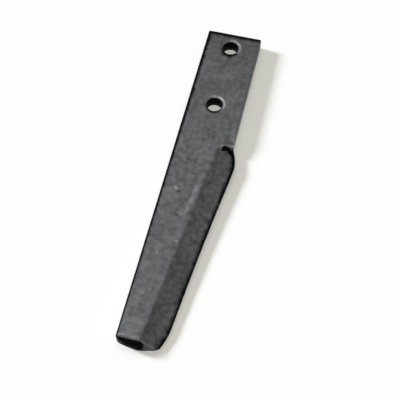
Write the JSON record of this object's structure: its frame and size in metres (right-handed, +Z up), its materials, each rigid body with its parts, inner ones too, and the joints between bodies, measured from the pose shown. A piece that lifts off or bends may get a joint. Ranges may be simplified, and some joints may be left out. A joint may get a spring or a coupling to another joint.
{
  "type": "power harrow tine",
  "caption": "Flat forged harrow tine with two bolt holes in its shank, a rounded shoulder and a bevelled blade ending in a blunt tip.",
  "frame": {"origin": "on the underside of the bar, at the middle of the tine's box across and along", "axes": "+Y along the shank towards the bolt end, +X towards the cutting edge, +Z up through the thickness of the tine as it lies flat"},
  "size_m": [0.0552, 0.3154, 0.012],
  "materials": {
    "forged_steel": "dark grey forged surface with its fire scale, dull satin"
  },
  "bodies": {
    "root": {"tine": "forged_steel"}
  },
  "joints": []
}
